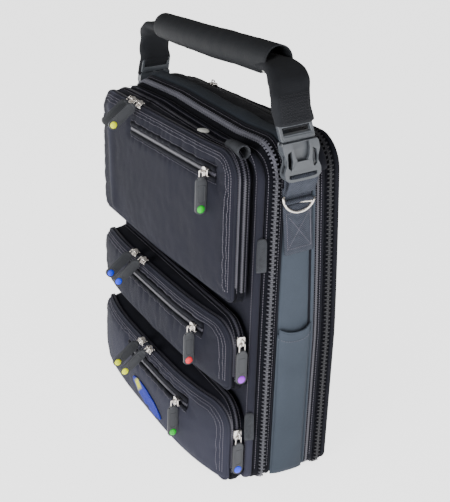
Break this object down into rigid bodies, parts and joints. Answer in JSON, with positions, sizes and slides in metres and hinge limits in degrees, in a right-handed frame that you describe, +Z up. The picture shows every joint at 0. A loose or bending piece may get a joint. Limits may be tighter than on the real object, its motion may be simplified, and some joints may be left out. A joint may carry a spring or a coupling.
{
  "type": "flight bag",
  "caption": "Upright pilot's flight bag: centre section between zip-off front and rear caps, stacked front pockets with doors, and a padded handle on side-release buckles.",
  "frame": {"origin": "on the floor under the middle of the centre section", "axes": "+X to the bag's right side, -Y to the front with the pockets, +Z up"},
  "size_m": [0.464, 0.2229, 0.5408],
  "materials": {
    "gusset_nylon": "woven nylon, soft sheen",
    "pocket_nylon": "woven nylon, soft sheen",
    "black_nylon": "woven nylon, matt",
    "webbing": "diagonal ribbed webbing",
    "zip_tape": "knitted tape with moulded teeth",
    "nickel": "satin nickel plate",
    "tab_rubber": "moulded rubber, matt",
    "buckle_plastic": "light grey acetal",
    "grip_rubber": "smooth wrap, satin",
    "patch": "woven patch",
    "white_plastic": "small studs"
  },
  "bodies": {
    "centre_section": {"gusset_base": "gusset_nylon", "gusset_left": "gusset_nylon", "gusset_right": "gusset_nylon", "gusset_top": "gusset_nylon", "top_roll": "gusset_nylon", "front_ring_zip": "zip_tape", "rear_ring_zip": "zip_tape", "piping": "zip_tape", "coil_zip": "zip_tape", "dark_band": "black_nylon", "side_pockets": "gusset_nylon", "side_webbing": "webbing"},
    "front_cap": {"front_panel": "pocket_nylon", "front_slip": "pocket_nylon", "press_stud": "white_plastic", "grab_tabs": "pocket_nylon", "top_pocket": "pocket_nylon", "mid_pocket": "pocket_nylon", "bottom_pocket": "pocket_nylon", "side_zips": "zip_tape"},
    "rear_cap": {"rear_cap": "black_nylon"},
    "top_door": {"top_door": "pocket_nylon", "top_door_zips": "zip_tape"},
    "mid_door": {"mid_door": "pocket_nylon", "mid_door_zips": "zip_tape"},
    "bottom_door": {"bottom_door": "pocket_nylon", "bottom_door_zips": "zip_tape", "woven_patch": "patch"},
    "buckle_sockets": {"buckle_sockets": "buckle_plastic", "loop_webbing": "webbing"},
    "handle": {"buckle_plugs": "buckle_plastic", "handle_straps": "webbing", "grip_core": "grip_rubber", "grip_wrap": "grip_rubber", "grip_rivets": "white_plastic"},
    "d_ring_left": {"d_ring_left": "nickel"},
    "d_ring_right": {"d_ring_right": "nickel"},
    "rear_slider": {"rear_slider": "nickel"},
    "top_face_slider": {"top_face_slider": "nickel"},
    "top_face_pull": {"top_face_pull": "tab_rubber"},
    "top_rim_slider_left": {"top_rim_slider_left": "nickel"},
    "top_rim_pull_left": {"top_rim_pull_left": "tab_rubber"},
    "top_rim_slider_right": {"top_rim_slider_right": "nickel"},
    "top_rim_pull_right": {"top_rim_pull_right": "tab_rubber"},
    "mid_face_slider": {"mid_face_slider": "nickel"},
    "mid_face_pull": {"mid_face_pull": "tab_rubber"},
    "mid_rim_slider_left": {"mid_rim_slider_left": "nickel"},
    "mid_rim_pull_left": {"mid_rim_pull_left": "tab_rubber"},
    "mid_rim_slider_right": {"mid_rim_slider_right": "nickel"},
    "mid_rim_pull_right": {"mid_rim_pull_right": "tab_rubber"},
    "bottom_face_slider": {"bottom_face_slider": "nickel"},
    "bottom_face_pull": {"bottom_face_pull": "tab_rubber"},
    "bottom_rim_slider_left": {"bottom_rim_slider_left": "nickel"},
    "bottom_rim_pull_left": {"bottom_rim_pull_left": "tab_rubber"},
    "bottom_rim_slider_right": {"bottom_rim_slider_right": "nickel"},
    "bottom_rim_pull_right": {"bottom_rim_pull_right": "tab_rubber"},
    "mid_side_slider": {"mid_side_slider": "nickel"},
    "mid_side_pull": {"mid_side_pull": "tab_rubber"},
    "bottom_side_slider": {"bottom_side_slider": "nickel"},
    "bottom_side_pull": {"bottom_side_pull": "tab_rubber"}
  },
  "joints": [
    {"name": "front_cap_tip", "type": "hinge", "parent": "centre_section", "child": "front_cap", "pos_m": [0, -0.112, 0], "axis": [1, 0, 0], "range_deg": [0, 75]},
    {"name": "rear_cap_tip", "type": "hinge", "parent": "centre_section", "child": "rear_cap", "pos_m": [0, 0.067, 0], "axis": [-1, 0, 0], "range_deg": [0, 80]},
    {"name": "top_door_fold", "type": "hinge", "parent": "front_cap", "child": "top_door", "pos_m": [0, -0.09, 0.251], "axis": [1, 0, 0], "range_deg": [0, 80]},
    {"name": "top_face_zip_run", "type": "slide", "parent": "top_door", "child": "top_face_slider", "axis": [-1, 0, 0], "range_m": [0, 0.213]},
    {"name": "top_face_pull_swing", "type": "hinge", "parent": "top_face_slider", "child": "top_face_pull", "pos_m": [0.151, -0.10065, 0.398], "axis": [-1, 0, 0], "range_deg": [0, 165]},
    {"name": "top_rim_zip_run_left", "type": "slide", "parent": "top_door", "child": "top_rim_slider_left", "axis": [-1, 0, 0], "range_m": [0, 0.106]},
    {"name": "top_rim_pull_swing_left", "type": "hinge", "parent": "top_rim_slider_left", "child": "top_rim_pull_left", "pos_m": [-0.078, -0.09606, 0.43863], "axis": [-1, 0, 0], "range_deg": [0, 130]},
    {"name": "top_rim_zip_run_right", "type": "slide", "parent": "top_door", "child": "top_rim_slider_right", "axis": [1, 0, 0], "range_m": [0, 0.236]},
    {"name": "top_rim_pull_swing_right", "type": "hinge", "parent": "top_rim_slider_right", "child": "top_rim_pull_right", "pos_m": [-0.052, -0.09606, 0.43863], "axis": [-1, 0, 0], "range_deg": [0, 130]},
    {"name": "mid_door_fold", "type": "hinge", "parent": "front_cap", "child": "mid_door", "pos_m": [0, -0.0965, 0.134], "axis": [1, 0, 0], "range_deg": [0, 80]},
    {"name": "mid_face_zip_run", "type": "slide", "parent": "mid_door", "child": "mid_face_slider", "axis": [-1, 0, 0], "range_m": [0, 0.197]},
    {"name": "mid_face_pull_swing", "type": "hinge", "parent": "mid_face_slider", "child": "mid_face_pull", "pos_m": [0.139, -0.10715, 0.196], "axis": [-1, 0, 0], "range_deg": [0, 165]},
    {"name": "mid_rim_zip_run_left", "type": "slide", "parent": "mid_door", "child": "mid_rim_slider_left", "axis": [-1, 0, 0], "range_m": [0, 0.128]},
    {"name": "mid_rim_pull_swing_left", "type": "hinge", "parent": "mid_rim_slider_left", "child": "mid_rim_pull_left", "pos_m": [-0.056, -0.10256, 0.22763], "axis": [-1, 0, 0], "range_deg": [0, 130]},
    {"name": "mid_rim_zip_run_right", "type": "slide", "parent": "mid_door", "child": "mid_rim_slider_right", "axis": [1, 0, 0], "range_m": [0, 0.208]},
    {"name": "mid_rim_pull_swing_right", "type": "hinge", "parent": "mid_rim_slider_right", "child": "mid_rim_pull_right", "pos_m": [-0.024, -0.10256, 0.22763], "axis": [-1, 0, 0], "range_deg": [0, 130]},
    {"name": "bottom_door_fold", "type": "hinge", "parent": "front_cap", "child": "bottom_door", "pos_m": [0, -0.1075, 0.002], "axis": [1, 0, 0], "range_deg": [0, 70]},
    {"name": "bottom_face_zip_run", "type": "slide", "parent": "bottom_door", "child": "bottom_face_slider", "axis": [-1, 0, 0], "range_m": [0, 0.158]},
    {"name": "bottom_face_pull_swing", "type": "hinge", "parent": "bottom_face_slider", "child": "bottom_face_pull", "pos_m": [0.116, -0.11815, 0.08], "axis": [-1, 0, 0], "range_deg": [0, 165]},
    {"name": "bottom_rim_zip_run_left", "type": "slide", "parent": "bottom_door", "child": "bottom_rim_slider_left", "axis": [-1, 0, 0], "range_m": [0, 0.182]},
    {"name": "bottom_rim_pull_swing_left", "type": "hinge", "parent": "bottom_rim_slider_left", "child": "bottom_rim_pull_left", "pos_m": [-0.002, -0.11356, 0.11563], "axis": [-1, 0, 0], "range_deg": [0, 130]},
    {"name": "bottom_rim_zip_run_right", "type": "slide", "parent": "bottom_door", "child": "bottom_rim_slider_right", "axis": [1, 0, 0], "range_m": [0, 0.158]},
    {"name": "bottom_rim_pull_swing_right", "type": "hinge", "parent": "bottom_rim_slider_right", "child": "bottom_rim_pull_right", "pos_m": [0.026, -0.11356, 0.11563], "axis": [-1, 0, 0], "range_deg": [0, 130]},
    {"name": "mid_side_zip_run", "type": "slide", "parent": "front_cap", "child": "mid_side_slider", "axis": [0, 0, -1], "range_m": [0, 0.045]},
    {"name": "mid_side_pull_swing", "type": "hinge", "parent": "mid_side_slider", "child": "mid_side_pull", "pos_m": [0.2081, -0.066, 0.1978], "axis": [0, -1, 0], "range_deg": [0, 100]},
    {"name": "bottom_side_zip_run", "type": "slide", "parent": "front_cap", "child": "bottom_side_slider", "axis": [0, 0, -1], "range_m": [0, 0.006]},
    {"name": "bottom_side_pull_swing", "type": "hinge", "parent": "bottom_side_slider", "child": "bottom_side_pull", "pos_m": [0.2081, -0.066, 0.0688], "axis": [0, -1, 0], "range_deg": [0, 100]},
    {"name": "rear_zip_run", "type": "slide", "parent": "centre_section", "child": "rear_slider", "axis": [1, 0, 0], "range_m": [-0.07, 0.25]},
    {"name": "handle_sway", "type": "hinge", "parent": "centre_section", "child": "buckle_sockets", "pos_m": [0, -0.008, 0.392], "axis": [1, 0, 0], "range_deg": [-18, 10]},
    {"name": "buckle_release", "type": "slide", "parent": "buckle_sockets", "child": "handle", "axis": [0, -0.1045, 0.9945], "range_m": [0, 0.045]},
    {"name": "d_ring_left_swing", "type": "hinge", "parent": "centre_section", "child": "d_ring_left", "pos_m": [-0.2196, -0.008, 0.373], "axis": [0, 0.9945, 0.1045], "range_deg": [0, 110]},
    {"name": "d_ring_right_swing", "type": "hinge", "parent": "centre_section", "child": "d_ring_right", "pos_m": [0.2196, -0.008, 0.373], "axis": [0, -0.9945, -0.1045], "range_deg": [0, 110]}
  ]
}
